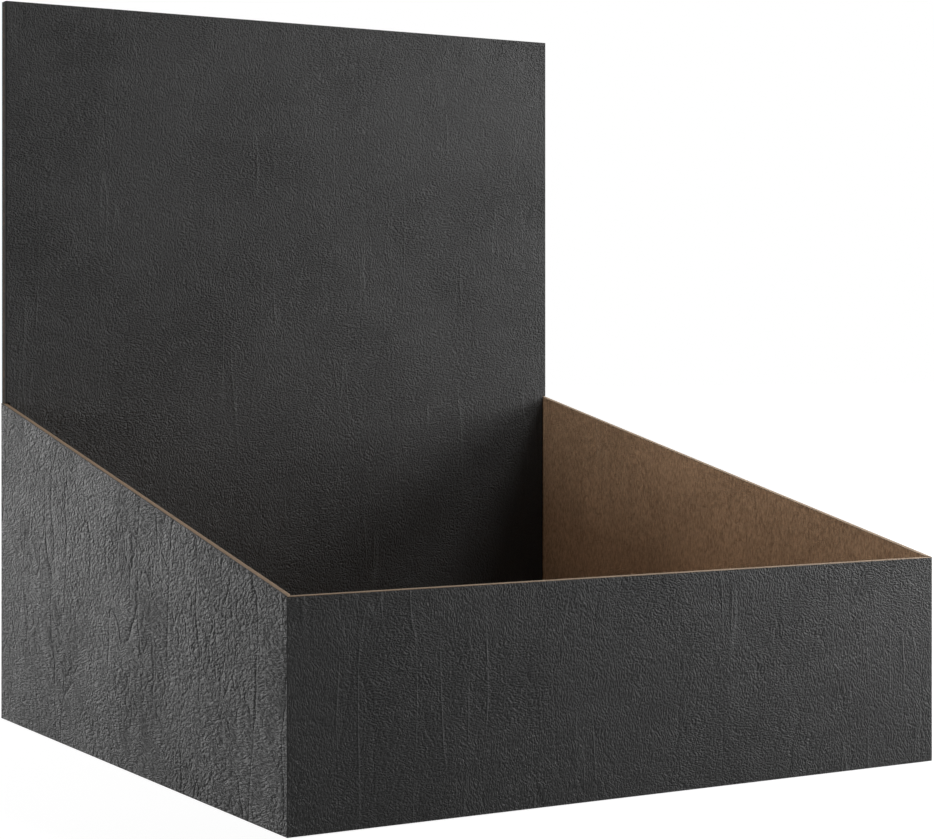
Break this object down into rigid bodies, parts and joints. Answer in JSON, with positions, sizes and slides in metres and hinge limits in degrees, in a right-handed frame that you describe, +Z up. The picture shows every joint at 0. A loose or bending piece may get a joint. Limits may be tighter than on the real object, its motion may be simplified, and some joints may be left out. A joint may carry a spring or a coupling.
{
  "type": "counter display box",
  "caption": "Open counter display tray of printed board with sloping side walls, a tall roll-over header at the rear and a tuck-in floor.",
  "frame": {"origin": "on the table, under the middle of the box's footprint", "axes": "+Z up, +Y towards the rear wall and header, +X to the right seen from the front"},
  "size_m": [0.3, 0.3, 0.333],
  "materials": {
    "printed_board": "solid board with a black, grained, matt printed face",
    "kraft_board": "bare brown kraft face of the same board"
  },
  "bodies": {
    "carton": {"front_wall": "printed_board", "left_wall": "printed_board", "right_wall": "printed_board", "rear_wall": "printed_board", "seam_flap": "kraft_board"},
    "header_spine": {"header_spine": "printed_board"},
    "header_face": {"header_face": "printed_board"},
    "header_foot": {"header_foot": "printed_board"},
    "floor": {"floor_panel": "kraft_board"},
    "floor_front_lip": {"floor_front_lip": "kraft_board"},
    "floor_left_lip": {"floor_left_lip": "kraft_board"},
    "floor_right_lip": {"floor_right_lip": "kraft_board"}
  },
  "joints": [
    {"name": "spine_fold", "type": "hinge", "parent": "carton", "child": "header_spine", "pos_m": [0, 0.15, 0.333], "axis": [-1, 0, 0], "range_deg": [0, 90]},
    {"name": "face_fold", "type": "hinge", "parent": "header_spine", "child": "header_face", "pos_m": [0, 0.1443, 0.333], "axis": [-1, 0, 0], "range_deg": [0, 90]},
    {"name": "foot_fold", "type": "hinge", "parent": "header_face", "child": "header_foot", "pos_m": [0, 0.144, 0.0053], "axis": [-1, 0, 0], "range_deg": [0, 90]},
    {"name": "floor_fold", "type": "hinge", "parent": "carton", "child": "floor", "pos_m": [0, 0.15, 0], "axis": [1, 0, 0], "range_deg": [0, 90]},
    {"name": "front_lip_fold", "type": "hinge", "parent": "floor", "child": "floor_front_lip", "pos_m": [0, -0.1432, 0.0028], "axis": [-1, 0, 0], "range_deg": [0, 90]},
    {"name": "left_lip_fold", "type": "hinge", "parent": "floor", "child": "floor_left_lip", "pos_m": [-0.1447, 0.00055, 0.0028], "axis": [0, 1, 0], "range_deg": [0, 90]},
    {"name": "right_lip_fold", "type": "hinge", "parent": "floor", "child": "floor_right_lip", "pos_m": [0.1447, 0.00055, 0.0028], "axis": [0, -1, 0], "range_deg": [0, 90]}
  ]
}
